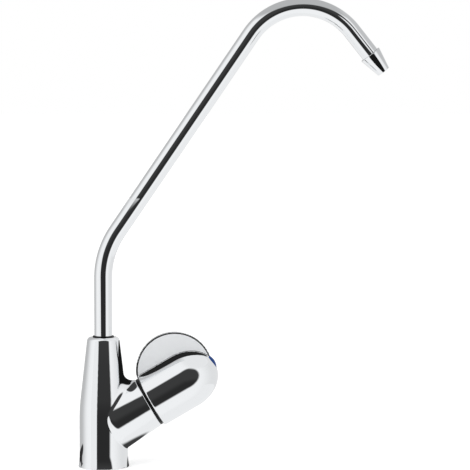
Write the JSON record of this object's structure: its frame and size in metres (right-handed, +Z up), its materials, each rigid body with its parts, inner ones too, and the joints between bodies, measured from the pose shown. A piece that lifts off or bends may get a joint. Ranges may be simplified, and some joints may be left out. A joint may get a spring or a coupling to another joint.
{
  "type": "drinking water filter tap",
  "caption": "Chrome one-hole drinking water tap: tapered column, swivelling swan-neck spout with a conical nozzle, and a leaning quarter-turn knob with a round fin and a blue cap.",
  "frame": {"origin": "centre of the base seat, on the worktop", "axes": "+Z up along the column, +X towards the outlet and the handle, +Y to the side"},
  "size_m": [0.1755, 0.032, 0.3134],
  "materials": {
    "chrome": "bright polished chrome plate",
    "brass": "turned brass, bare",
    "steel": "stainless steel",
    "rubber": "black moulded rubber",
    "black_acetal": "black acetal",
    "white_acetal": "white acetal",
    "ceramic": "lapped alumina ceramic",
    "blue_abs": "glossy blue moulded plastic"
  },
  "bodies": {
    "column": {"tap_body": "chrome", "base_gasket": "rubber", "inlet_seal": "rubber", "mounting_shank": "brass", "deck_washer": "rubber", "backing_washer": "steel", "mounting_nut": "brass", "seat_seal": "rubber", "fixed_disc": "ceramic", "cartridge_body": "brass", "cartridge_o_ring": "rubber", "glide_ring": "black_acetal", "spout_bush": "black_acetal", "spout_grub_screw": "steel"},
    "handle": {"moving_disc": "ceramic", "spindle": "brass", "spindle_o_rings": "rubber", "slip_washer": "white_acetal", "spindle_clip": "steel", "spline_insert": "white_acetal", "handle_knob": "chrome", "handle_screw": "steel", "index_cap": "blue_abs"},
    "spout": {"spout_foot": "brass", "spout_o_rings": "rubber", "spout_tube": "chrome", "nozzle_tip": "chrome", "nozzle_o_ring": "rubber", "flow_straightener": "white_acetal"}
  },
  "joints": [
    {"name": "handle_turn", "type": "hinge", "parent": "column", "child": "handle", "pos_m": [0, 0, 0.0214], "axis": [0.866, 0, 0.5], "range_deg": [0, 90]},
    {"name": "spout_swivel", "type": "hinge", "parent": "column", "child": "spout", "pos_m": [0, 0, 0], "axis": [0, 0, 1], "continuous": true}
  ]
}
